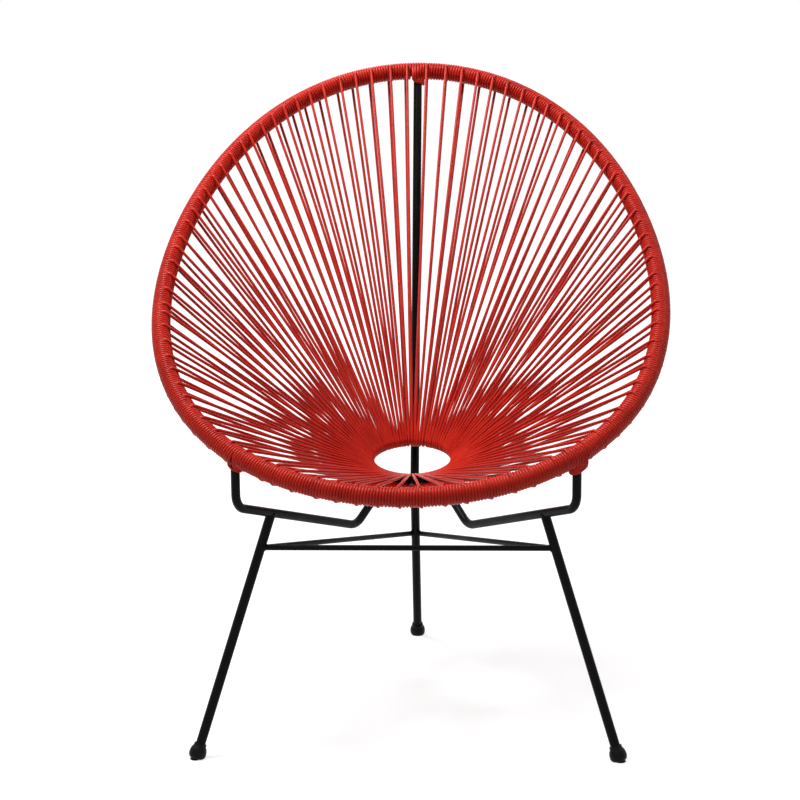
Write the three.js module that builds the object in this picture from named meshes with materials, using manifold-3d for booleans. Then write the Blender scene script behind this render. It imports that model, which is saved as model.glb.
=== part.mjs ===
// Round lounge chair: an egg-shaped steel hoop wound with cord, a cord seat gathered on a small ring,
// two bent arms that carry the hoop, two front legs, and one bent rod that is back upright and rear leg.
// Millimetres, +Z up, the sitter faces -Y. The origin is on the floor, below the middle of the hoop.
import * as THREE from "three";
import { mergeVertices } from "three/addons/utils/BufferGeometryUtils.js";
import Module from "manifold-3d";

const wasm = await Module();
wasm.setup();

// Clearance between two pieces that touch.
const seatGap = 0.3;

// Hoop: half its width and half its length in its own plane, and how far its outline departs from an ellipse.
const hoopHalfWidth = 343;
const hoopHalfLength = 453;
const hoopEggShare = 0.1355;
const hoopSquareShare = 0.086;
const hoopTubeRadius = 9;
const hoopHeight = 616;
const hoopTilt = THREE.MathUtils.degToRad(33.1);
const hoopSides = 10;

// Cord: one winding round the hoop, with loops that run down to the hub ring and back.
const cordDiameter = 4;
const loopCount = 91;
const loopsPerPanel = 7;
// The hoop takes one step per loop, so that each strand meets a true point of its curve.
const hoopSteps = loopCount;
// A strand's square section has the area of the round cord.
const strandSide = (cordDiameter * Math.sqrt(Math.PI)) / 2;

// Hub ring: bare steel rod under the cord, its size follows from the loops packed side by side inside it.
const hubRodRadius = 5;
const hubDepthPlace = -31.5;
const hubHeight = 333;
const hubTilt = THREE.MathUtils.degToRad(13);
const hubSides = 8;
const hubSteps = 40;
const hubBendSteps = 4;

// Arms: bent rods from under the hoop to the back rod.
const armRodRadius = 6;
const armBendRadius = 24;
const armDrop = 71;
const armLowSpread = 80;
const armLowPlace = -65;
const armLowHeight = 245;
const armRiseSpread = 43;
const armRisePlace = 2;
const armRiseHeight = 288;
const armHoopLoops = 8.5;
const armSides = 10;
const armSteps = 40;

// Back rod: from under the top of the hoop down to the arms, then on as the rear leg.
const backRodRadius = 6.5;
const backBendRadius = 55;
const backBendPlace = 72;
const backBendHeight = 271;
// The rear foot's place, as a share of half the hoop's length.
const rearFootShare = 0.402;
const backSides = 10;
const backSteps = 44;

// Front legs: straight rods, their tops welded under the arms, their feet at shares of the hoop's half sizes.
const legRodRadius = 6.5;
const legArmShare = 0.275;
const legBiteShare = 0.5;
const footSpreadShare = 0.8163;
const footReachShare = 0.747;
const legSides = 12;

// Stretchers: thin rods between the three legs.
const stretcherRodRadius = 3.75;
const stretcherFrontHeight = 268;
const stretcherRearHeight = 184.5;
const stretcherSides = 8;

// Foot caps: round moulded shoes with a flat sole.
const capRadius = 11.6;
const capNeckRadius = 8.4;
const capHeight = 21;
const capSoleRadius = 7.5;
const capFloor = 6;
const capSides = 20;

// How far a cutter runs past what it cuts.
const cutOverrun = 30;

const cordMaterial = new THREE.MeshStandardMaterial({ color: 0xc63020, roughness: 0.35, metalness: 0 });
const steelMaterial = new THREE.MeshStandardMaterial({ color: 0x141416, roughness: 0.4, metalness: 0.3 });
const capMaterial = new THREE.MeshStandardMaterial({ color: 0x101011, roughness: 0.45, metalness: 0 });

const up = new THREE.Vector3(0, 0, 1);

// The middle line of the hoop's tube, from its front round by the right side.
class HoopCurve extends THREE.Curve {
  constructor() {
    super();
    this.arcLengthDivisions = 1440;
  }

  getPoint(t, target = new THREE.Vector3()) {
    const turn = 2 * Math.PI * t;
    const bulge = 1 + hoopEggShare * Math.cos(turn) + hoopSquareShare * Math.cos(turn) ** 2;
    const along = -hoopHalfLength * Math.cos(turn);
    return target.set(
      hoopHalfWidth * Math.sin(turn) * bulge,
      along * Math.cos(hoopTilt),
      hoopHeight + along * Math.sin(hoopTilt),
    );
  }
}

// A round bend of a rod, as the arc from one point about a centre.
class BendCurve extends THREE.Curve {
  constructor(centre, from, axis, angle) {
    super();
    this.centre = centre;
    this.from = from;
    this.axis = axis;
    this.angle = angle;
  }

  getPoint(t, target = new THREE.Vector3()) {
    return target
      .subVectors(this.from, this.centre)
      .applyAxisAngle(this.axis, this.angle * t)
      .add(this.centre);
  }
}

const hoopCurve = new HoopCurve();
const hoopNormal = new THREE.Vector3(0, -Math.sin(hoopTilt), Math.cos(hoopTilt));
const hubNormal = new THREE.Vector3(0, -Math.sin(hubTilt), Math.cos(hubTilt));
const hubCentre = new THREE.Vector3(0, hubDepthPlace, hubHeight);
const windingRadius = hoopTubeRadius + seatGap + cordDiameter;
const hubCordInner = (hubRodRadius + seatGap) / Math.cos(Math.PI / 2 / hubBendSteps);
const hubCordOuter = hubCordInner + cordDiameter;
const hubRingRadius = (loopCount * cordDiameter) / (2 * Math.PI) + cordDiameter / 2 + hubRodRadius;

// Straight runs through the corner points, joined by bends of one radius.
function rodPath(corners, bendRadius) {
  const path = new THREE.CurvePath();
  let start = corners[0];
  for (let i = 1; i < corners.length - 1; i++) {
    const before = new THREE.Vector3().subVectors(corners[i], corners[i - 1]).normalize();
    const after = new THREE.Vector3().subVectors(corners[i + 1], corners[i]).normalize();
    const angle = before.angleTo(after);
    const reach = bendRadius * Math.tan(angle / 2);
    const from = corners[i].clone().addScaledVector(before, -reach);
    const inward = new THREE.Vector3().subVectors(after, before).normalize();
    const centre = corners[i].clone().addScaledVector(inward, bendRadius / Math.cos(angle / 2));
    const axis = new THREE.Vector3().crossVectors(before, after).normalize();
    path.add(new THREE.LineCurve3(start, from));
    path.add(new BendCurve(centre, from, axis, angle));
    start = corners[i].clone().addScaledVector(after, reach);
  }
  path.add(new THREE.LineCurve3(start, corners[corners.length - 1]));
  return path;
}

function discShape(radius, sides) {
  const shape = new THREE.Shape();
  for (let i = 0; i < sides; i++) {
    const turn = (2 * Math.PI * (i + 1 / 2)) / sides;
    if (i === 0) shape.moveTo(radius * Math.cos(turn), radius * Math.sin(turn));
    else shape.lineTo(radius * Math.cos(turn), radius * Math.sin(turn));
  }
  shape.closePath();
  return shape;
}

function bentRod(path, radius, sides, steps) {
  return new THREE.ExtrudeGeometry(discShape(radius, sides), { steps, extrudePath: path });
}

function straightRod(from, to, radius, sides) {
  return bentRod(new THREE.LineCurve3(from, to), radius, sides, 1);
}

// A closed tube of one radius all round the hoop's middle line.
function hoopTube(radius) {
  const positions = [];
  const index = [];
  for (let i = 0; i < hoopSteps; i++) {
    const middle = hoopCurve.getPointAt(i / hoopSteps);
    const outward = new THREE.Vector3().crossVectors(hoopCurve.getTangentAt(i / hoopSteps), hoopNormal);
    for (let j = 0; j < hoopSides; j++) {
      const turn = (2 * Math.PI * j) / hoopSides;
      const point = middle
        .clone()
        .addScaledVector(outward, radius * Math.cos(turn))
        .addScaledVector(hoopNormal, radius * Math.sin(turn));
      positions.push(point.x, point.y, point.z);
      const a = i * hoopSides + j;
      const b = i * hoopSides + ((j + 1) % hoopSides);
      const c = ((i + 1) % hoopSteps) * hoopSides + j;
      const d = ((i + 1) % hoopSteps) * hoopSides + ((j + 1) % hoopSides);
      index.push(a, c, b, b, c, d);
    }
  }
  const geometry = new THREE.BufferGeometry();
  geometry.setAttribute("position", new THREE.Float32BufferAttribute(positions, 3));
  geometry.setIndex(index);
  return geometry;
}

function toSolid(geometry) {
  const bare = geometry.clone();
  bare.deleteAttribute("normal");
  bare.deleteAttribute("uv");
  const merged = mergeVertices(bare);
  return new wasm.Manifold(
    new wasm.Mesh({
      numProp: 3,
      vertProperties: new Float32Array(merged.attributes.position.array),
      triVerts: new Uint32Array(merged.index.array),
    }),
  );
}

function toGeometry(solid) {
  const mesh = solid.getMesh();
  const geometry = new THREE.BufferGeometry();
  geometry.setAttribute("position", new THREE.BufferAttribute(mesh.vertProperties, 3));
  geometry.setIndex(new THREE.BufferAttribute(mesh.triVerts, 1));
  return geometry;
}

// One piece of solid material, less what it is cut round.
function cut(geometry, cutters) {
  let solid = toSolid(geometry);
  for (const cutter of cutters) solid = solid.subtract(toSolid(cutter));
  return toGeometry(solid);
}

function mirrored(point, side) {
  return new THREE.Vector3(point.x * side, point.y, point.z);
}

// Places that pieces share. Side is 1 on the right and -1 on the left.
const armHoopPoint = hoopCurve.getPointAt(armHoopLoops / loopCount);
const armDropPoint = armHoopPoint.clone().addScaledVector(up, -armDrop);
const armLowPoint = new THREE.Vector3(armLowSpread, armLowPlace, armLowHeight);
const armRisePoint = new THREE.Vector3(armRiseSpread, armRisePlace, armRiseHeight);
const armEndPoint = new THREE.Vector3(armRodRadius + seatGap, backBendPlace, backBendHeight);
const backTopPoint = hoopCurve.getPointAt(1 / 2);
const backBendPoint = new THREE.Vector3(0, backBendPlace, backBendHeight);
const rearFootPoint = new THREE.Vector3(0, rearFootShare * hoopHalfLength, 0);
const legTopPoint = armDropPoint.clone().lerp(armLowPoint, legArmShare);
const frontFootPoint = new THREE.Vector3(
  footSpreadShare * hoopHalfWidth,
  -footReachShare * hoopHalfLength,
  0,
);

function atHeight(low, high, height) {
  return low.clone().lerp(high, (height - low.z) / (high.z - low.z));
}

const stretcherFrontPoint = atHeight(frontFootPoint, legTopPoint, stretcherFrontHeight);
const stretcherRearPoint = atHeight(rearFootPoint, backBendPoint, stretcherRearHeight);

function armGeometry(side, extra) {
  const corners = [armHoopPoint, armDropPoint, armLowPoint, armRisePoint, armEndPoint];
  const path = rodPath(
    corners.map((corner) => mirrored(corner, side)),
    armBendRadius,
  );
  return bentRod(path, armRodRadius + extra, armSides, armSteps);
}

// Where the rod's end stops inside its cap, a cap floor above the sole.
function footEnd(foot, top) {
  return foot.clone().addScaledVector(new THREE.Vector3().subVectors(top, foot).normalize(), capFloor);
}

function backGeometry(extra) {
  const corners = [backTopPoint, backBendPoint, footEnd(rearFootPoint, backBendPoint)];
  return bentRod(rodPath(corners, backBendRadius), backRodRadius + extra, backSides, backSteps);
}

// The leg stops short of the arm's middle line, by a share of the arm's radius, and is saddled to the arm.
function legGeometry(side, extra) {
  const foot = footEnd(frontFootPoint, legTopPoint);
  const down = new THREE.Vector3().subVectors(foot, legTopPoint).normalize();
  const top = legTopPoint.clone().addScaledVector(down, legBiteShare * armRodRadius);
  return straightRod(mirrored(foot, side), mirrored(top, side), legRodRadius + extra, legSides);
}

function arm(side) {
  return cut(armGeometry(side, 0), [hoopTube(hoopTubeRadius + seatGap), backGeometry(seatGap)]);
}

function backRod() {
  return cut(backGeometry(0), [hoopTube(hoopTubeRadius + seatGap)]);
}

function frontLeg(side) {
  return cut(legGeometry(side, 0), [armGeometry(side, seatGap)]);
}

function frontStretcherGeometry(extra) {
  const right = mirrored(stretcherFrontPoint, 1);
  const left = mirrored(stretcherFrontPoint, -1);
  return straightRod(left, right, stretcherRodRadius + extra, stretcherSides);
}

function frontStretcher() {
  return cut(frontStretcherGeometry(0), [legGeometry(1, seatGap), legGeometry(-1, seatGap)]);
}

// The rear stretchers land side by side on the front of the rear leg.
function rearStretcher(side) {
  const from = mirrored(stretcherFrontPoint, side);
  const to = stretcherRearPoint.clone();
  to.x = side * (stretcherRodRadius + seatGap);
  const rod = straightRod(from, to, stretcherRodRadius, stretcherSides);
  return cut(rod, [legGeometry(side, seatGap), frontStretcherGeometry(seatGap), backGeometry(seatGap)]);
}

function capProfile() {
  const shoulder = capHeight - (capRadius - capNeckRadius);
  const sole = capRadius - capSoleRadius;
  const profile = new THREE.Path();
  profile.moveTo(0, -cutOverrun);
  profile.lineTo(capSoleRadius, -cutOverrun);
  profile.lineTo(capSoleRadius, 0);
  profile.quadraticCurveTo(capRadius, 0, capRadius, sole * 2);
  profile.quadraticCurveTo(capRadius, shoulder, capNeckRadius, capHeight);
  profile.lineTo(0, capHeight);
  return profile.getPoints(5);
}

// A cap follows its leg's slope, has a blind bore for the leg and is cut flat at the floor.
function footCap(foot, top, rodRadius) {
  const direction = new THREE.Vector3().subVectors(top, foot).normalize();
  const turn = new THREE.Quaternion().setFromUnitVectors(up, direction);
  const body = new THREE.LatheGeometry(capProfile(), capSides);
  body.rotateX(Math.PI / 2);
  body.applyQuaternion(turn);
  body.translate(foot.x, foot.y, foot.z);
  const boreFrom = foot.clone().addScaledVector(direction, capFloor - seatGap);
  const boreTo = foot.clone().addScaledVector(direction, capHeight + cutOverrun);
  const bore = straightRod(boreFrom, boreTo, rodRadius + seatGap, legSides);
  const floorSize = 2 * (capRadius + cutOverrun);
  const belowFloor = new THREE.BoxGeometry(floorSize, floorSize, floorSize);
  belowFloor.translate(foot.x, foot.y, -floorSize / 2);
  return cut(body, [bore, belowFloor]);
}

function hubRing() {
  const ring = new THREE.TorusGeometry(hubRingRadius, hubRodRadius, hubSides, hubSteps);
  return ring.rotateX(hubTilt).translate(hubCentre.x, hubCentre.y, hubCentre.z);
}

// The cord's turns all round the hoop, one layer thick, open where a rod meets the hoop.
function rimWinding() {
  const rods = [armGeometry(1, seatGap), armGeometry(-1, seatGap), backGeometry(seatGap)];
  return cut(hoopTube(windingRadius), [hoopTube(hoopTubeRadius + seatGap), ...rods]);
}

// Where a loop stands: its place on the hub ring and on the hoop, and the line between them.
function loopPlace(loop) {
  const share = (loop + loopCount) / loopCount - Math.floor((loop + loopCount) / loopCount);
  const outward = new THREE.Vector3(Math.sin(2 * Math.PI * share), -Math.cos(2 * Math.PI * share), 0);
  outward.applyAxisAngle(new THREE.Vector3(1, 0, 0), hubTilt);
  const hubPoint = hubCentre.clone().addScaledVector(outward, hubRingRadius);
  const hoopPoint = hoopCurve.getPointAt(share);
  const along = new THREE.Vector3().subVectors(hoopPoint, hubPoint).normalize();
  return { outward, hubPoint, hoopPoint, along, tangent: hoopCurve.getTangentAt(share) };
}

// The bend of cord round the hub ring at one place: pairs of points, near the ring and far from it.
// It starts where the upper strand leaves the ring and ends where the lower strand does.
function hubBend(loop, gapTurn) {
  const { hubPoint, outward, along } = loopPlace(loop + (gapTurn * loopCount) / (2 * Math.PI));
  const first = Math.PI / 2 + Math.asin(along.dot(hubNormal));
  const pairs = [];
  for (let i = 0; i <= hubBendSteps; i++) {
    const turn = first + (Math.PI * i) / hubBendSteps;
    const point = (radius) =>
      hubPoint
        .clone()
        .addScaledVector(outward, radius * Math.cos(turn))
        .addScaledVector(hubNormal, radius * Math.sin(turn));
    pairs.push([point(hubCordInner), point(hubCordOuter)]);
  }
  return pairs;
}

// The end of a strand at the winding: pairs of points near the hoop and far from it, on both of its sides.
// Layer is 1 above and -1 below. The end is slanted to follow the winding, its middle a gap away from it.
function strandEnd(loop, layer) {
  const { hoopPoint, along, tangent } = loopPlace(loop);
  const above = new THREE.Vector3().crossVectors(along, tangent);
  const slant = above.length();
  above.normalize();
  const clear = windingRadius + 2 * seatGap;
  const corner = (offset, side) =>
    hoopPoint
      .clone()
      .addScaledVector(above, layer * offset)
      .addScaledVector(along, -Math.sqrt(clear * clear - offset * offset) / slant)
      .addScaledVector(tangent, (side * strandSide) / 2 / slant);
  const near = hoopTubeRadius + seatGap;
  const far = near + strandSide;
  return [-1, 1].map((side) => [corner(near, side), corner(far, side)]);
}

// One panel of the seat: neighbouring loops of cord side by side. Each runs down from the hoop,
// round the ring and back up to the hoop, and all are joined where they lie packed on the ring.
function seatPanel(middleLoop) {
  const positions = [];
  const quad = (a, b, c, d) => {
    for (const point of [a, c, b, a, d, c]) positions.push(point.x, point.y, point.z);
  };
  const firstLoop = middleLoop - (loopsPerPanel - 1) / 2;
  const gapTurn = seatGap / 2 / (hubRingRadius - hubCordOuter);
  for (let i = 0; i < loopsPerPanel; i++) {
    const loop = firstLoop + i;
    const before = hubBend(loop - 1 / 2, i === 0 ? gapTurn : 0);
    const after = hubBend(loop + 1 / 2, i === loopsPerPanel - 1 ? -gapTurn : 0);
    for (let j = 0; j < hubBendSteps; j++) {
      quad(before[j][1], before[j + 1][1], after[j + 1][1], after[j][1]);
      quad(before[j][0], after[j][0], after[j + 1][0], before[j + 1][0]);
      if (i === 0) quad(before[j][0], before[j + 1][0], before[j + 1][1], before[j][1]);
      if (i === loopsPerPanel - 1) quad(after[j][0], after[j][1], after[j + 1][1], after[j + 1][0]);
    }
    for (const layer of [1, -1]) {
      const place = layer === 1 ? 0 : hubBendSteps;
      const root = [before[place][0], before[place][1], after[place][1], after[place][0]];
      const [left, right] = strandEnd(loop, layer);
      const end = [left[0], left[1], right[1], right[0]];
      for (let k = 0; k < root.length; k++) {
        const next = (k + 1) % root.length;
        if (layer === 1) quad(root[k], root[next], end[next], end[k]);
        else quad(root[k], end[k], end[next], root[next]);
      }
      if (layer === 1) quad(end[0], end[1], end[2], end[3]);
      else quad(end[0], end[3], end[2], end[1]);
    }
  }
  const panel = new THREE.BufferGeometry();
  panel.setAttribute("position", new THREE.Float32BufferAttribute(positions, 3));
  return mergeVertices(panel);
}

const chair = new THREE.Group();

function addPiece(name, geometry, material) {
  const piece = new THREE.Mesh(geometry, material);
  piece.name = name;
  chair.add(piece);
}

addPiece("rim_hoop", hoopTube(hoopTubeRadius), steelMaterial);
addPiece("hub_ring", hubRing(), steelMaterial);
addPiece("back_rod", backRod(), steelMaterial);
for (const [word, side] of [["right", 1], ["left", -1]]) {
  const foot = mirrored(frontFootPoint, side);
  addPiece(`${word}_arm`, arm(side), steelMaterial);
  addPiece(`${word}_front_leg`, frontLeg(side), steelMaterial);
  addPiece(`${word}_stretcher`, rearStretcher(side), steelMaterial);
  addPiece(`${word}_foot_cap`, footCap(foot, mirrored(legTopPoint, side), legRodRadius), capMaterial);
}
addPiece("front_stretcher", frontStretcher(), steelMaterial);
addPiece("rear_foot_cap", footCap(rearFootPoint, backBendPoint, backRodRadius), capMaterial);
addPiece("rim_winding", rimWinding(), cordMaterial);
addPiece("seat_cord_front", seatPanel(0), cordMaterial);
const panelsPerSide = (loopCount / loopsPerPanel - 1) / 2;
for (let i = 1; i <= panelsPerSide; i++) {
  addPiece(`seat_cord_right_${i}`, seatPanel(i * loopsPerPanel), cordMaterial);
  addPiece(`seat_cord_left_${i}`, seatPanel(-i * loopsPerPanel), cordMaterial);
}

export default chair;
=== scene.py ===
import bpy
import bmesh
import math
import random
from math import cos, sin, pi, radians
from mathutils import Vector, Matrix


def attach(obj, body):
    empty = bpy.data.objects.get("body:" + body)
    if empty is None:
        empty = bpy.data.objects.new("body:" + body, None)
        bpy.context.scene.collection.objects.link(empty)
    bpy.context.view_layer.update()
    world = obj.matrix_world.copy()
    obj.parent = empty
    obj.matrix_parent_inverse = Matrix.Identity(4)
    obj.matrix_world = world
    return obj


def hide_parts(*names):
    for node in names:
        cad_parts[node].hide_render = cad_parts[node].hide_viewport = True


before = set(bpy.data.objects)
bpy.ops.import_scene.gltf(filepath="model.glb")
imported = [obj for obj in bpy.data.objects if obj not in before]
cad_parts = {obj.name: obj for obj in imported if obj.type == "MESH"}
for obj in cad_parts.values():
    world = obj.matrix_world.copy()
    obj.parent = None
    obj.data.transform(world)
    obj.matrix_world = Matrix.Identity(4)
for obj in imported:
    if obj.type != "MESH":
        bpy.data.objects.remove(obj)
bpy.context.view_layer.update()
scene = bpy.context.scene
random.seed(7)
print("frame loaded,", len(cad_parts), "nodes")


# the hoop that carries the cord, an egg outline tilted back
hoop = {
    "halfWidth": 0.343,
    "halfLength": 0.453,
    "eggShare": 0.1355,
    "squareShare": 0.086,
    "tubeRadius": 0.009,
    "height": 0.616,
    "tilt": radians(33.1),
    "samples": 3600,
    "tangentStep": 1e-4,
}


def hoopPoint(turn):
    bulge = 1 + hoop["eggShare"] * cos(turn) + hoop["squareShare"] * cos(turn) ** 2
    along = -hoop["halfLength"] * cos(turn)
    return Vector((
        hoop["halfWidth"] * sin(turn) * bulge,
        along * cos(hoop["tilt"]),
        hoop["height"] + along * sin(hoop["tilt"]),
    ))


# the hoop measured along its middle line, from the front round by the right
hoopMarks = [0.0]
for i in range(hoop["samples"]):
    step = hoopPoint(2 * pi * (i + 1) / hoop["samples"]) - hoopPoint(2 * pi * i / hoop["samples"])
    hoopMarks.append(hoopMarks[-1] + step.length)
hoopGirth = hoopMarks[-1]
hoopUp = Vector((0, -sin(hoop["tilt"]), cos(hoop["tilt"])))


def hoopTurnAt(way):
    way = way % hoopGirth
    low, high = 0, hoop["samples"]
    while high - low > 1:
        middle = (low + high) // 2
        if hoopMarks[middle] <= way:
            low = middle
        else:
            high = middle
    share = (way - hoopMarks[low]) / (hoopMarks[low + 1] - hoopMarks[low])
    return 2 * pi * (low + share) / hoop["samples"]


def hoopAt(way):
    turn = hoopTurnAt(way)
    place = hoopPoint(turn)
    tangent = (hoopPoint(turn + hoop["tangentStep"]) - hoopPoint(turn - hoop["tangentStep"])).normalized()
    return place, tangent, tangent.cross(hoopUp)


def aroundHoop(way, angle, reach):
    # a point beside the tube: angle 0 is outward, 90 degrees is up, 180 is towards the seat
    place, _, outward = hoopAt(way)
    return place + outward * (reach * cos(angle)) + hoopUp * (reach * sin(angle))


def newMaterial(name):
    material = bpy.data.materials.new(name)
    material.use_nodes = True
    nodes = material.node_tree.nodes
    nodes.clear()
    shader = nodes.new("ShaderNodeBsdfPrincipled")
    out = nodes.new("ShaderNodeOutputMaterial")
    material.node_tree.links.new(shader.outputs[0], out.inputs[0])
    return material, nodes, material.node_tree.links, shader


mottleLook = {
    "patchDetail": 3,
    "grainDetail": 5,
    "grainRoughness": 0.6,
    "darkest": 0.3,            # the noise values that give the first and the last tone
    "lightest": 0.7,
}


def mottleGroup():
    # slow tone changes and fine grain, for any finish
    group = bpy.data.node_groups.new("mottleAndGrain", "ShaderNodeTree")
    sockets = group.interface
    sockets.new_socket("Patch Scale", in_out="INPUT", socket_type="NodeSocketFloat")
    sockets.new_socket("Grain Scale", in_out="INPUT", socket_type="NodeSocketFloat")
    sockets.new_socket("Patches", in_out="OUTPUT", socket_type="NodeSocketFloat")
    sockets.new_socket("Grain", in_out="OUTPUT", socket_type="NodeSocketFloat")
    nodes, links = group.nodes, group.links
    into = nodes.new("NodeGroupInput")
    out = nodes.new("NodeGroupOutput")
    place = nodes.new("ShaderNodeTexCoord")
    patch = nodes.new("ShaderNodeTexNoise")
    grain = nodes.new("ShaderNodeTexNoise")
    patch.inputs["Detail"].default_value = mottleLook["patchDetail"]
    grain.inputs["Detail"].default_value = mottleLook["grainDetail"]
    grain.inputs["Roughness"].default_value = mottleLook["grainRoughness"]
    links.new(place.outputs["Object"], patch.inputs["Vector"])
    links.new(place.outputs["Object"], grain.inputs["Vector"])
    links.new(into.outputs["Patch Scale"], patch.inputs["Scale"])
    links.new(into.outputs["Grain Scale"], grain.inputs["Scale"])
    links.new(patch.outputs["Fac"], out.inputs["Patches"])
    links.new(grain.outputs["Fac"], out.inputs["Grain"])
    return group


mottle = mottleGroup()


def mapRange(nodes, links, source, low, high, fromLow=mottleLook["darkest"], fromHigh=mottleLook["lightest"]):
    node = nodes.new("ShaderNodeMapRange")
    node.inputs["From Min"].default_value = fromLow
    node.inputs["From Max"].default_value = fromHigh
    node.inputs["To Min"].default_value = low
    node.inputs["To Max"].default_value = high
    links.new(source, node.inputs["Value"])
    return node.outputs["Result"]


def twoTone(nodes, links, source, dark, light):
    ramp = nodes.new("ShaderNodeValToRGB")
    ramp.color_ramp.elements[0].position = mottleLook["darkest"]
    ramp.color_ramp.elements[1].position = mottleLook["lightest"]
    ramp.color_ramp.elements[0].color = (*dark, 1)
    ramp.color_ramp.elements[1].color = (*light, 1)
    links.new(source, ramp.inputs["Fac"])
    return ramp.outputs["Color"]


def finish(name, look):
    material, nodes, links, shader = newMaterial(name)
    group = nodes.new("ShaderNodeGroup")
    group.node_tree = mottle
    group.inputs["Patch Scale"].default_value = look["patchScale"]
    group.inputs["Grain Scale"].default_value = look["grainScale"]
    links.new(twoTone(nodes, links, group.outputs["Patches"], look["dark"], look["light"]),
              shader.inputs["Base Color"])
    links.new(mapRange(nodes, links, group.outputs["Patches"], *look["roughness"]),
              shader.inputs["Roughness"])
    bump = nodes.new("ShaderNodeBump")
    bump.inputs["Strength"].default_value = look["bump"]
    bump.inputs["Distance"].default_value = look["bumpDepth"]
    links.new(group.outputs["Grain"], bump.inputs["Height"])
    links.new(bump.outputs["Normal"], shader.inputs["Normal"])
    shader.inputs["Specular IOR Level"].default_value = look["specular"]
    return material


redCord = finish("redPvcCord", {
    "dark": (0.55, 0.014, 0.006), "light": (0.69, 0.030, 0.012),
    "roughness": (0.30, 0.40), "specular": 0.19,
    "patchScale": 35, "grainScale": 500, "bump": 0.01, "bumpDepth": 0.0002,
})
blackPaint = finish("satinBlackPaint", {
    "dark": (0.0016, 0.0016, 0.0018), "light": (0.0036, 0.0036, 0.0038),
    "roughness": (0.34, 0.48), "specular": 0.075,
    "patchScale": 20, "grainScale": 1400, "bump": 0.18, "bumpDepth": 0.0002,
})
blackCap = finish("mouldedBlackPlastic", {
    "dark": (0.0018, 0.0018, 0.0018), "light": (0.0032, 0.0032, 0.0034),
    "roughness": (0.30, 0.42), "specular": 0.10,
    "patchScale": 60, "grainScale": 2200, "bump": 0.15, "bumpDepth": 0.0002,
})
print("materials made")


def dress(piece, material, slot, *nodesReplaced):
    piece.data.materials.clear()
    piece.data.materials.append(material)
    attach(piece, "root")
    if nodesReplaced:
        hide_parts(*nodesReplaced)


def roundCurve(name, paths, radius, sides, cyclic=False, caps=True):
    # one curve object, a round section along each path; sides is even
    curve = bpy.data.curves.new(name, "CURVE")
    curve.dimensions = "3D"
    curve.bevel_depth = radius
    curve.bevel_resolution = sides // 2 - 2
    curve.use_fill_caps = caps
    curve.resolution_u = 1
    for path in paths:
        spline = curve.splines.new("POLY")
        spline.points.add(len(path) - 1)
        for point, place in zip(spline.points, path):
            point.co = (*place, 1)
        spline.use_cyclic_u = cyclic
        spline.use_smooth = True
    piece = bpy.data.objects.new(name, curve)
    scene.collection.objects.link(piece)
    return piece


rods = {
    "sides": 24,
    "armRadius": 0.006,
    "armBendRadii": (0.024, 0.036, 0.024),
    "armBendSteps": 14,
    "armDrop": 0.071,
    "armLow": (0.080, -0.065, 0.245),
    "armRise": (0.043, 0.002, 0.288),
    "armHoopLoops": 8.5,       # an arm meets the hoop this many loops from the front
    "armGap": 0.003,           # its other end stops this far from the middle of the back rod
    "backRadius": 0.0065,
    "backBendRadii": (0.055,),
    "backBendSteps": 24,
    "backBend": (0, 0.072, 0.271),
    "rearFoot": (0, 0.402 * hoop["halfLength"], 0),
    "legRadius": 0.0065,
    "legArmShare": 0.275,      # a leg's top is this share of the way along the arm's low run
    "frontFoot": (0.8163 * hoop["halfWidth"], -0.747 * hoop["halfLength"], 0),
    "capFloor": 0.006,
    "stretcherRadius": 0.00375,
    "stretcherSides": 16,
    "stretcherGap": 0.0001,
    "stretcherFrontHeight": 0.268,
    "stretcherRearHeight": 0.1845,
}
cord = {
    "radius": 0.0021,
    "turnSides": 8,
    "strandRadius": 0.00215,
    "strandSides": 12,
    "loops": 91,
    "turns": 571,
    "stepsPerTurn": 12,
    "clearance": 0.0003,
}


def rodPath(corners, bendRadii, bendSteps):
    # straight runs joined by round bends
    corners = [Vector(corner) for corner in corners]
    path = [corners[0]]
    for i in range(1, len(corners) - 1):
        before = (corners[i] - corners[i - 1]).normalized()
        after = (corners[i + 1] - corners[i]).normalized()
        angle, bendRadius = before.angle(after), bendRadii[i - 1]
        reach = bendRadius * math.tan(angle / 2)
        start = corners[i] - before * reach
        centre = corners[i] + (after - before).normalized() * (bendRadius / cos(angle / 2))
        axis = before.cross(after).normalized()
        for j in range(bendSteps + 1):
            path.append(centre + Matrix.Rotation(angle * j / bendSteps, 3, axis) @ (start - centre))
    path.append(corners[-1])
    return path


def sideOf(point, side):
    return Vector((point[0] * side, point[1], point[2]))


def atHeight(low, high, height):
    return low.lerp(high, (height - low.z) / (high.z - low.z))


armWay = rods["armHoopLoops"] / cord["loops"] * hoopGirth
armTop = hoopAt(armWay)[0]
armDrop = armTop - Vector((0, 0, rods["armDrop"]))
armLow = Vector(rods["armLow"])
backBend = Vector(rods["backBend"])
backTop = hoopPoint(pi)
legTop = armDrop.lerp(armLow, rods["legArmShare"])
frontFoot = Vector(rods["frontFoot"])
rearFoot = Vector(rods["rearFoot"])
stretcherFront = atHeight(frontFoot, legTop, rods["stretcherFrontHeight"])
stretcherRear = atHeight(rearFoot, backBend, rods["stretcherRearHeight"])


def footEnd(foot, top):
    return foot + (top - foot).normalized() * rods["capFloor"]


def armEnd(side):
    return backBend + Vector((side * rods["armGap"], 0, 0))


def stretcherEnd(side):
    return stretcherRear + Vector((side * (rods["stretcherRadius"] + rods["stretcherGap"]), 0, 0))


backPath = rodPath([backTop, backBend, footEnd(rearFoot, backBend)],
                   rods["backBendRadii"], rods["backBendSteps"])
backRod = roundCurve("backRod", [backPath], rods["backRadius"], rods["sides"])
dress(backRod, blackPaint, "steel", "back_rod")

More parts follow.
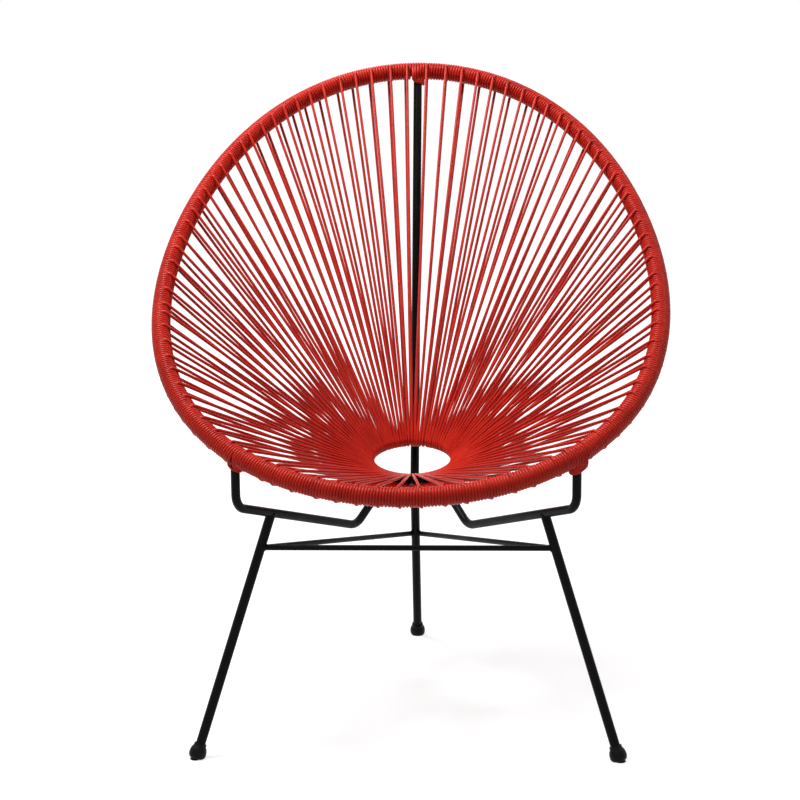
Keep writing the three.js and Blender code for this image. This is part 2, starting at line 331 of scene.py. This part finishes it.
frontStretcher = roundCurve("frontStretcher", [[sideOf(stretcherFront, -1), sideOf(stretcherFront, 1)]],
                            rods["stretcherRadius"], rods["stretcherSides"])
dress(frontStretcher, blackPaint, "steel", "front_stretcher")

for word, side in (("right", 1), ("left", -1)):
    corners = [sideOf(corner, side) for corner in (armTop, armDrop, armLow, rods["armRise"])]
    corners.append(armEnd(side))
    arm = roundCurve(word + "Arm", [rodPath(corners, rods["armBendRadii"], rods["armBendSteps"])],
                     rods["armRadius"], rods["sides"])
    dress(arm, blackPaint, "steel", word + "_arm")
    leg = roundCurve(word + "FrontLeg", [[sideOf(footEnd(frontFoot, legTop), side), sideOf(legTop, side)]],
                     rods["legRadius"], rods["sides"])
    dress(leg, blackPaint, "steel", word + "_front_leg")
    stretcher = roundCurve(word + "Stretcher", [[sideOf(stretcherFront, side), stretcherEnd(side)]],
                           rods["stretcherRadius"], rods["stretcherSides"])
    dress(stretcher, blackPaint, "steel", word + "_stretcher")
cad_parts["rim_hoop"].data.materials.clear()
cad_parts["rim_hoop"].data.materials.append(blackPaint)
print("rods made")


mergeGap = 1e-6


def pieceFrom(body, name):
    mesh = bpy.data.meshes.new(name)
    body.to_mesh(mesh)
    body.free()
    piece = bpy.data.objects.new(name, mesh)
    scene.collection.objects.link(piece)
    return piece


hub = {
    "rodRadius": 0.005,
    "place": (0, -0.0315, 0.333),
    "tilt": radians(13),
    "steps": 144,
    "sides": 20,
    "cordReach": 0.0072,
    "room": 0.004,             # each loop's share of the ring's inner side, and
    "slack": 0.002,            # what is left between that side and the rod
    "drawnIn": 0.0015,         # the ring is this much smaller than the two call for
    "jitter": 0.0012,          # how unevenly the loops lie on it, as a share of the way round
    "turnSteps": 8,
}
hub["ringRadius"] = cord["loops"] * hub["room"] / (2 * pi) + hub["slack"] + hub["rodRadius"] - hub["drawnIn"]
hubUp = Vector((0, -sin(hub["tilt"]), cos(hub["tilt"])))


def hubAt(share):
    # a place on the ring's middle line, and the tangent there
    outward = Matrix.Rotation(hub["tilt"], 3, "X") @ Vector((sin(2 * pi * share), -cos(2 * pi * share), 0))
    return Vector(hub["place"]) + outward * hub["ringRadius"], hubUp.cross(outward)


def spinRing(name):
    body = bmesh.new()
    ring = bmesh.ops.create_circle(body, segments=hub["sides"], radius=hub["rodRadius"])
    bmesh.ops.rotate(body, verts=ring["verts"], cent=(0, 0, 0), matrix=Matrix.Rotation(pi / 2, 3, "X"))
    bmesh.ops.translate(body, verts=ring["verts"], vec=(hub["ringRadius"], 0, 0))
    bmesh.ops.spin(body, geom=list(body.edges) + list(body.verts), cent=(0, 0, 0), axis=(0, 0, 1),
                   angle=2 * pi, steps=hub["steps"], use_merge=True)
    bmesh.ops.remove_doubles(body, verts=body.verts, dist=mergeGap)
    bmesh.ops.recalc_face_normals(body, faces=body.faces)
    bmesh.ops.rotate(body, verts=body.verts, cent=(0, 0, 0), matrix=Matrix.Rotation(hub["tilt"], 3, "X"))
    bmesh.ops.translate(body, verts=body.verts, vec=hub["place"])
    for face in body.faces:
        face.smooth = True
    return pieceFrom(body, name)


dress(spinRing("hubRing"), blackPaint, "steel", "hub_ring")


cap = {
    "radius": 0.0116,
    "neckRadius": 0.0084,
    "height": 0.021,
    "soleRadius": 0.0075,
    "belt": 0.0072,            # the height of the widest ring
    "shoulder": 0.0098,        # how far the round goes on above it
    "neckStart": 0.0182,
    "edge": 0.0005,
    "boreRadius": 0.0067,
    "boreFloor": 0.012,
    "spare": 0.004,            # made below the floor and cut off again
    "roundSteps": 9,
    "steps": 48,
    "sharpFrom": radians(40),
}


def footCap(name, foot, top):
    # half a section spun round the leg's line, then cut flat at the floor
    body = bmesh.new()
    outline = [(0, -cap["spare"]), (cap["soleRadius"], -cap["spare"]), (cap["soleRadius"], 0.0)]
    for i in range(1, cap["roundSteps"]):
        angle = -pi / 2 + pi * i / cap["roundSteps"]
        outline.append((cap["soleRadius"] + (cap["radius"] - cap["soleRadius"]) * cos(angle),
                        cap["belt"] + cap["belt" if angle < 0 else "shoulder"] * sin(angle)))
    outline += [(cap["neckRadius"], cap["neckStart"]),
                (cap["neckRadius"], cap["height"] - 0.8 * cap["edge"]),
                (cap["neckRadius"] - cap["edge"], cap["height"]),
                (cap["boreRadius"], cap["height"]),
                (cap["boreRadius"], cap["boreFloor"]),
                (0, cap["boreFloor"])]
    corners = [body.verts.new((x, 0, z)) for x, z in outline]
    edges = [body.edges.new((a, b)) for a, b in zip(corners, corners[1:])]
    bmesh.ops.spin(body, geom=corners + edges, cent=(0, 0, 0), axis=(0, 0, 1), angle=2 * pi,
                   steps=cap["steps"], use_merge=True)
    bmesh.ops.remove_doubles(body, verts=body.verts, dist=mergeGap)
    bmesh.ops.transform(body, verts=body.verts,
                        matrix=Vector((0, 0, 1)).rotation_difference(top - foot).to_matrix().to_4x4())
    bmesh.ops.translate(body, verts=body.verts, vec=foot)
    cut = bmesh.ops.bisect_plane(body, geom=list(body.verts) + list(body.edges) + list(body.faces),
                                 plane_co=(0, 0, 0), plane_no=(0, 0, -1), clear_outer=True)
    bmesh.ops.holes_fill(body, edges=[e for e in cut["geom_cut"] if isinstance(e, bmesh.types.BMEdge)])
    bmesh.ops.recalc_face_normals(body, faces=body.faces)
    for face in body.faces:
        face.smooth = True
    for edge in body.edges:
        edge.smooth = len(edge.link_faces) == 2 and edge.calc_face_angle(0) < cap["sharpFrom"]
    return pieceFrom(body, name)


dress(footCap("rearFootCap", rearFoot, backBend), blackCap, "cap", "rear_foot_cap")
for word, side in (("right", 1), ("left", -1)):
    dress(footCap(word + "FootCap", sideOf(frontFoot, side), sideOf(legTop, side)),
          blackCap, "cap", word + "_foot_cap")
print("hub ring and foot caps made")


# one cord: it runs round and round the hoop, and now and then leaves for the hub ring and comes back
ridge = {
    "lift": (0.0024, 0.0036),  # how far a leaving strand stands up on the turns, at the front and back
    "climb": radians(34),      # how far round the tube it climbs before it leaves
    "dip": (0.0013, 0.0040),   # how far a returning strand stands off as it comes in, front and back
    "frontLoops": 16,          # this many loops on either side count as the front
    "settle": radians(36),     # how far round the tube it takes to fall in with the turns
    "close": radians(46),      # the turns close up over this much before the strand leaves,
    "openEarly": 0.1,          # and stand parted this many radians earlier than half a turn before
    "backTurns": 0.8,          # the returning strand comes in this many turns further on
    "frontSlip": 0.34,         # the front loops sit this share of a loop to the left,
    "slipLoops": 8,            # and this many loops on, none do
    "backSlip": 0.3,           # the spread of backTurns, in turns
    # the loops at the front and beside the uprights, which leave in their own turn
    "plainLoops": (0, 1, 2, 3, 4, 8, 9, 45, 46, 82, 83, 87, 88, 89, 90),
    "hubSlip": 0.0021,         # how far along the ring a strand comes back from where it went over,
    "hubSlipKept": 0.6,        # and the share of its neighbour's slip that is added
    "steps": 8,
}
cord["reach"] = hoop["tubeRadius"] + cord["clearance"] + cord["radius"]
cord["pitch"] = hoopGirth / cord["turns"]


def ease(x):
    x = min(max(x, 0), 1)
    return x * x * (3 - 2 * x)


def easeOff(x):
    # 1 at the middle, 0 at both ends
    return cos(min(abs(x), 1) * pi / 2) ** 2


def loopShare(loop):
    # a loop's place, as a share of the way round the hoop
    fromFront = min(loop, cord["loops"] - loop)
    return (loop - ridge["frontSlip"] * easeOff(fromFront / ridge["slipLoops"])) / cord["loops"]


# some loops leave a turn early or late, as by hand, but not at the front or beside an upright
handSlips = [0 if loop in ridge["plainLoops"] else random.choice((-1, 0, 0, 1))
             for loop in range(cord["loops"])]
hubSlips = [0.0]
for loop in range(cord["loops"] - 1):
    hubSlips.append(ridge["hubSlipKept"] * hubSlips[-1] + random.uniform(-ridge["hubSlip"], ridge["hubSlip"]))


def ridgeAt(loop, kind):
    front, back = ridge[kind]
    fromFront = min(loop, cord["loops"] - loop)
    return front + (back - front) * ease(fromFront / ridge["frontLoops"] - 1)


def loopTurn(loop):
    # the number of the turn from which a loop leaves
    whole = loop // cord["loops"]
    loop = loop % cord["loops"]
    return round(loopShare(loop) * cord["turns"]) + handSlips[loop] + whole * cord["turns"]


def spacing(loop):
    # the distance between turns where they make room, between this loop and the next
    count = loopTurn(loop + 1) - loopTurn(loop)
    return cord["pitch"] * count / (count + 1)


def touchAngle(way, target, reach, side):
    # the angle round the tube at which a straight strand from the target touches it, above or below
    place, _, outward = hoopAt(way)
    run = target - place
    across, rise = run.dot(outward), run.dot(hoopUp)
    return math.atan2(rise, across) % (2 * pi) - side * math.acos(reach / math.hypot(across, rise))


leaveAngles = [touchAngle(loopShare(loop) * hoopGirth, hubAt(loopShare(loop))[0], cord["reach"], 1)
               for loop in range(cord["loops"])]


def alongHoop(angle, loop, turn):
    # where along the hoop a turn stands, with the room that it makes for both ends of a loop
    near = angle - 2 * pi * turn
    leave = leaveAngles[loop % cord["loops"]]
    parted = (ease((near - leave + pi + ridge["openEarly"]) / ridge["settle"])
              * ease((leave - near) / ridge["close"]))
    room = spacing(loop)
    aside = room / 2 + (turn - loopTurn(loop)) * (room - cord["pitch"])
    return cord["pitch"] * angle / (2 * pi) + aside * parted


# how turns are led past an upright, in metres and radians
detour = {
    "gap": 0.0002,
    "reach": 0.025,            # turns as near as this to an upright,
    "fineAngle": 1.5,          # this far round the tube on either side of it,
    "finer": 5,                # get this many times the points
    "bendFront": 2.6,          # a turn bends aside over these angles, in front of it and behind it
    "bendBehind": 2.0,
    "hangLowest": 0.25,        # it hangs lowest this far in front of it,
    "hangSpread": 1.45,        # and hangs down over this much on either side of there
}
# the uprights that the turns can't cross: their place along the hoop and way down, which way round
# the tube their front is, and the angle over which a turn changes sides there. Each pass is one
# turn: the side on which it shows in front (None where it would anyway), the side on which it goes
# by, and how many cords further down
necks = [
    {"way": armWay, "down": Vector((0, 0, -1)), "front": 1,
     "cross": 0.7, "radius": rods["armRadius"],
     "passes": [(None, -1, 0.1), (None, -1, 0.6), (None, -1, 1.1), (0.65, -1, 1.6), (0.9, -1, 2.1)]},
    {"way": hoopGirth - armWay, "down": Vector((0, 0, -1)), "front": 1,
     "cross": 0.7, "radius": rods["armRadius"],
     "passes": [(-1, -1, 0.3), (-0.35, 1, 1.4), (0.7, 1, 0.7), (None, 1, 0.3)]},
    {"way": hoopGirth / 2, "down": (backBend - backTop).normalized(), "front": -1,
     "cross": 0.6, "radius": rods["backRadius"],
     "passes": [(None, -1, 0.3), (None, -1, 0.9), (None, -1, 1.6), (None, -1, 2.3), (0.9, -1, 2.9)]},
]
for neck in necks:
    place, tangent, outward = hoopAt(neck["way"])
    neck["place"] = place
    neck["angle"] = math.atan2(neck["down"].dot(hoopUp), neck["down"].dot(outward))
    lean = neck["down"].dot(tangent)
    neck["lean"] = lean / math.sqrt(1 - lean * lean)
    neck["clear"] = neck["radius"] + cord["radius"] + detour["gap"]
    neck["half"] = neck["clear"] / math.sqrt(1 - lean * lean)


def wrapped(value, span):
    # the same place on a round, as a value on either side of 0
    return (value + span / 2) % span - span / 2


def turnWay(angle, loop):
    turn = round(angle / (2 * pi))
    return alongHoop(angle, loop, min(max(turn, loopTurn(loop)), loopTurn(loop + 1)))


def pastUpright(place, neck):
    # a point inside an upright is put out to its side
    run = place - neck["place"]
    down = neck["down"] * run.dot(neck["down"])
    aside = run - down
    if down.dot(neck["down"]) < 0 or aside.length > neck["clear"]:
        return place
    return neck["place"] + down + aside.normalized() * neck["clear"]


def nearUpright(angle, loop):
    for neck in necks:
        apart = wrapped(angle - neck["angle"], 2 * pi)
        offset = wrapped(turnWay(angle, loop) - neck["way"], hoopGirth)
        if abs(offset) < detour["reach"] and abs(apart) < detour["fineAngle"]:
            return True
    return False


def turnPoint(angle, loop):
    # one point of the cord's running turns, led past the uprights that it meets
    way = turnWay(angle, loop)
    for neck in necks:
        apart = wrapped(angle - neck["angle"], 2 * pi)
        offset = wrapped(turnWay(angle - apart, loop) - neck["way"] - cord["reach"] * neck["lean"], hoopGirth)
        number = math.floor((offset + neck["half"]) / cord["pitch"])
        if not 0 <= number < len(neck["passes"]):
            continue
        coming, going, drop = neck["passes"][number]
        front = apart * neck["front"]
        coming = offset / neck["half"] if coming is None else coming
        side = coming + (going - coming) * ease(1 - front / neck["cross"])
        bend = easeOff(front / detour["bendFront" if front > 0 else "bendBehind"])
        lower = drop * 2 * cord["radius"] * easeOff((front - detour["hangLowest"]) / detour["hangSpread"])
        way += (side * neck["half"] - offset + neck["lean"] * lower) * bend
        return pastUpright(aroundHoop(way, angle, cord["reach"] + lower), neck)
    return aroundHoop(way, angle, cord["reach"])


def loopPath(loop):
    # out of the turns, over to the hub ring, round it, and back in under the hoop
    started = loopTurn(loop)
    hubPlace, hubTangent = hubAt(loopShare(loop) + random.uniform(-hub["jitter"], hub["jitter"]))
    place, tangent, _ = hoopAt(cord["pitch"] * started)
    toHub = (hubPlace - place).normalized()
    slope = toHub.dot(tangent) / math.sqrt(1 - toHub.dot(tangent) ** 2)
    above = toHub.cross(hubTangent)
    if above.dot(hubUp) < 0:
        above.negate()
    above.normalize()
    onward = toHub - above * toHub.dot(above)
    lift, dip = ridgeAt(loop, "lift"), ridgeAt(loop, "dip")
    high, low = cord["reach"] + lift, cord["reach"] + dip
    leave = touchAngle(cord["pitch"] * started, hubPlace + above * hub["cordReach"], high, 1)
    enter = touchAngle(cord["pitch"] * started, hubPlace - above * hub["cordReach"], low, -1) - 2 * pi
    backWay = cord["pitch"] * (ridge["backTurns"] + random.uniform(-ridge["backSlip"], ridge["backSlip"]))
    slideOut = slope * high * ridge["climb"] / 2
    slideIn = slope * low * ridge["settle"] / 2
    path = []
    for i in range(ridge["steps"] + 1):
        x = i / ridge["steps"]
        angle = leave - ridge["climb"] * (1 - x)
        way = alongHoop(2 * pi * started + angle, loop - 1, started)
        path.append(aroundHoop(way + slideOut * x * x, angle, cord["reach"] + lift * ease(x)))
    for i in range(hub["turnSteps"] + 1):
        angle = pi * i / hub["turnSteps"]
        path.append(hubPlace + above * (hub["cordReach"] * cos(angle))
                    + onward * (hub["cordReach"] * sin(angle))
                    + hubTangent * (hubSlips[loop] * i / hub["turnSteps"]))
    for i in range(ridge["steps"] + 1):
        x = 1 - i / ridge["steps"]
        angle = enter + ridge["settle"] * (1 - x)
        way = alongHoop(2 * pi * started + angle, loop, started)
        way += slideIn * x * x + backWay * ease(x)
        path.append(aroundHoop(way, angle, cord["reach"] + dip * ease(x)))
    return path, 2 * pi * started + leave - ridge["climb"], 2 * pi * started + enter + ridge["settle"]


loops = [loopPath(loop) for loop in range(cord["loops"])]
windings = []
for loop in range(cord["loops"]):
    start = loops[loop][2]
    end = loops[(loop + 1) % cord["loops"]][1] + (2 * pi * cord["turns"] if loop == cord["loops"] - 1 else 0)
    steps = max(2, round((end - start) / (2 * pi) * cord["stepsPerTurn"]))
    angles = []
    for i in range(steps):
        angle = start + (end - start) * i / steps
        finer = detour["finer"] if nearUpright(angle, loop) else 1
        angles += [angle + (end - start) / steps * j / finer for j in range(finer)]
    windings.append([turnPoint(angle, loop) for angle in angles + [end]])

rimWinding = roundCurve("rimWinding", windings, cord["radius"], cord["turnSides"])
dress(rimWinding, redCord, "cord", "rim_winding")

# neighbouring loops make a panel: one at the front, and the others on either side of it
panel = {"loops": 7, "eachSide": 6}
half = panel["loops"] // 2
for i in range(-panel["eachSide"], panel["eachSide"] + 1):
    members = [(i * panel["loops"] + j) % cord["loops"] for j in range(-half, half + 1)]
    word = "Front" if i == 0 else ("Right" if i > 0 else "Left") + str(abs(i))
    node = "seat_cord_front" if i == 0 else f"seat_cord_{'right' if i > 0 else 'left'}_{abs(i)}"
    seatCord = roundCurve("seatCord" + word, [loops[member][0] for member in members],
                          cord["strandRadius"], cord["strandSides"])
    dress(seatCord, redCord, "cord", node)
print("cord made,", sum(len(path) for path in windings), "points in the turns")


weld = {
    "radius": 0.0011,
    "steps": 36,
    "sides": 8,
    "startBack": 0.05,         # the seam is looked for from this far back along the rod
    "ripple": 0.18,            # the bead's thickness goes up and down by this share of its radius,
    "rippleStep": 2.3,         # by this many radians from point to point,
    "spread": 0.12,            # and by this share unevenly
}


def rodMeetsRod(end, direction, radius, linePoint, lineDirection, lineRadius):
    # the seam where a rod's side runs into the round of another rod
    seam = []
    across = direction.orthogonal().normalized()
    other = direction.cross(across)
    for i in range(weld["steps"]):
        angle = 2 * pi * i / weld["steps"]
        start = end + (across * cos(angle) + other * sin(angle)) * radius - direction * weld["startBack"]
        side = start - linePoint
        flatSide = side - lineDirection * side.dot(lineDirection)
        flatWay = direction - lineDirection * direction.dot(lineDirection)
        a, b = flatWay.dot(flatWay), 2 * flatSide.dot(flatWay)
        c = flatSide.dot(flatSide) - lineRadius ** 2
        inside = b * b - 4 * a * c
        way = (-b - math.sqrt(inside)) / (2 * a) if inside > 0 else -b / (2 * a)
        seam.append(start + direction * way)
    return seam


seams = []
for side in (1, -1):
    legUp = (sideOf(legTop, side) - sideOf(frontFoot, side)).normalized()
    armRun = (sideOf(armLow, side) - sideOf(armDrop, side)).normalized()
    seams.append(rodMeetsRod(sideOf(legTop, side), legUp, rods["legRadius"],
                             sideOf(legTop, side), armRun, rods["armRadius"]))
    out = Vector((side, 0, 0))
    seams.append(rodMeetsRod(sideOf(stretcherFront, side), out, rods["stretcherRadius"],
                             sideOf(stretcherFront, side), legUp, rods["legRadius"]))
    back = (stretcherEnd(side) - sideOf(stretcherFront, side)).normalized()
    rearUp = (backBend - rearFoot).normalized()
    seams.append(rodMeetsRod(stretcherEnd(side), back, rods["stretcherRadius"],
                             stretcherRear, rearUp, rods["backRadius"]))
    inward = (armEnd(side) - sideOf(rods["armRise"], side)).normalized()
    seams.append(rodMeetsRod(armEnd(side), inward, rods["armRadius"],
                             backBend, rearUp, rods["backRadius"]))
welds = roundCurve("weldBeads", seams, weld["radius"], weld["sides"], cyclic=True, caps=False)
for spline in welds.data.splines:
    for i, point in enumerate(spline.points):
        point.radius = (1 + weld["ripple"] * sin(i * weld["rippleStep"])
                        + random.uniform(-weld["spread"], weld["spread"]))
dress(welds, blackPaint, "steel")
print("welds made")


stage = {
    "floorSize": 60,
    "floorColor": 0.55,
    "floorRoughness": 0.9,
    "floorGlow": (0.76, 1.0),       # added to what the camera sees, near the chair and far off
    "glowRadius": (0.9, 2.4),
    "worldLight": 0.11,
    "sensorWidth": 36,
    "lens": 91.8,
    "cameraPlace": (0.0880, -2.8737, 1.0250),
    "cameraTurn": radians(2.117),
    "cameraTilt": radians(78),
    "cameraRoll": radians(-0.45),
    "aim": (0, 0, 0.5),
    "lamps": {
        # place, size and watts of each softbox, all turned to the aim
        "keyLamp": ((-1.15, 0.1, 3.3), (1.1, 1.1), 97),
        "sideLamp": ((1.5, 0.1, 2.1), (0.7, 1.0), 9),
        "frontLamp": ((-0.5, -2.8, 2.3), (1.2, 1.2), 5),
    },
}


def seenRays(nodes, links):
    # 1 for rays from the camera, off gloss and through what transmits
    rays = nodes.new("ShaderNodeLightPath")
    either = nodes.new("ShaderNodeMath")
    either.operation = "MAXIMUM"
    links.new(rays.outputs["Is Camera Ray"], either.inputs[0])
    links.new(rays.outputs["Is Glossy Ray"], either.inputs[1])
    seen = nodes.new("ShaderNodeMath")
    seen.operation = "MAXIMUM"
    links.new(either.outputs[0], seen.inputs[0])
    links.new(rays.outputs["Is Transmission Ray"], seen.inputs[1])
    return seen.outputs[0]


def paperMaterial():
    # a matt floor, seen as white wherever the chair doesn't shade it
    material, nodes, links, shader = newMaterial("whitePaperFloor")
    shader.inputs["Base Color"].default_value = (stage["floorColor"],) * 3 + (1,)
    shader.inputs["Roughness"].default_value = stage["floorRoughness"]
    shader.inputs["Specular IOR Level"].default_value = 0.0
    shader.inputs["Emission Color"].default_value = (1, 1, 1, 1)
    place = nodes.new("ShaderNodeTexCoord")
    far = nodes.new("ShaderNodeVectorMath")
    far.operation = "LENGTH"
    links.new(place.outputs["Object"], far.inputs[0])
    glow = mapRange(nodes, links, far.outputs["Value"], *stage["floorGlow"], *stage["glowRadius"])
    shown = nodes.new("ShaderNodeMath")
    shown.operation = "MULTIPLY"
    links.new(glow, shown.inputs[0])
    links.new(seenRays(nodes, links), shown.inputs[1])
    links.new(shown.outputs[0], shader.inputs["Emission Strength"])
    return material


paperBody = bmesh.new()
bmesh.ops.create_grid(paperBody, x_segments=1, y_segments=1, size=stage["floorSize"] / 2)
paperFloor = pieceFrom(paperBody, "paperFloor")
paperFloor.data.materials.append(paperMaterial())

world = bpy.data.worlds.new("studioWorld")
scene.world = world
world.use_nodes = True
worldNodes, worldLinks = world.node_tree.nodes, world.node_tree.links
worldNodes.clear()
worldOut = worldNodes.new("ShaderNodeOutputWorld")
roomLight = worldNodes.new("ShaderNodeBackground")
roomLight.inputs["Color"].default_value = (1, 1, 1, 1)
strength = mapRange(worldNodes, worldLinks, seenRays(worldNodes, worldLinks), stage["worldLight"], 1, 0, 1)
worldLinks.new(strength, roomLight.inputs["Strength"])
worldLinks.new(roomLight.outputs[0], worldOut.inputs[0])

for name, (place, size, watts) in stage["lamps"].items():
    lamp = bpy.data.lights.new(name, "AREA")
    lamp.shape = "RECTANGLE"
    lamp.size, lamp.size_y = size
    lamp.energy = watts
    lampObject = bpy.data.objects.new(name, lamp)
    scene.collection.objects.link(lampObject)
    lampObject.location = place
    lampObject.rotation_euler = (Vector(stage["aim"]) - Vector(place)).to_track_quat("-Z", "Y").to_euler()

camera = bpy.data.cameras.new("photoCamera")
camera.sensor_width = stage["sensorWidth"]
camera.lens = stage["lens"]
camera.clip_end = stage["floorSize"]
cameraObject = bpy.data.objects.new("photoCamera", camera)
scene.collection.objects.link(cameraObject)
cameraObject.location = stage["cameraPlace"]
cameraObject.rotation_euler = (Matrix.Rotation(stage["cameraTurn"], 3, "Z")
                               @ Matrix.Rotation(stage["cameraTilt"], 3, "X")
                               @ Matrix.Rotation(stage["cameraRoll"], 3, "Z")).to_euler()
scene.camera = cameraObject
scene.view_settings.view_transform = "Standard"
print("stage, lights and camera set")
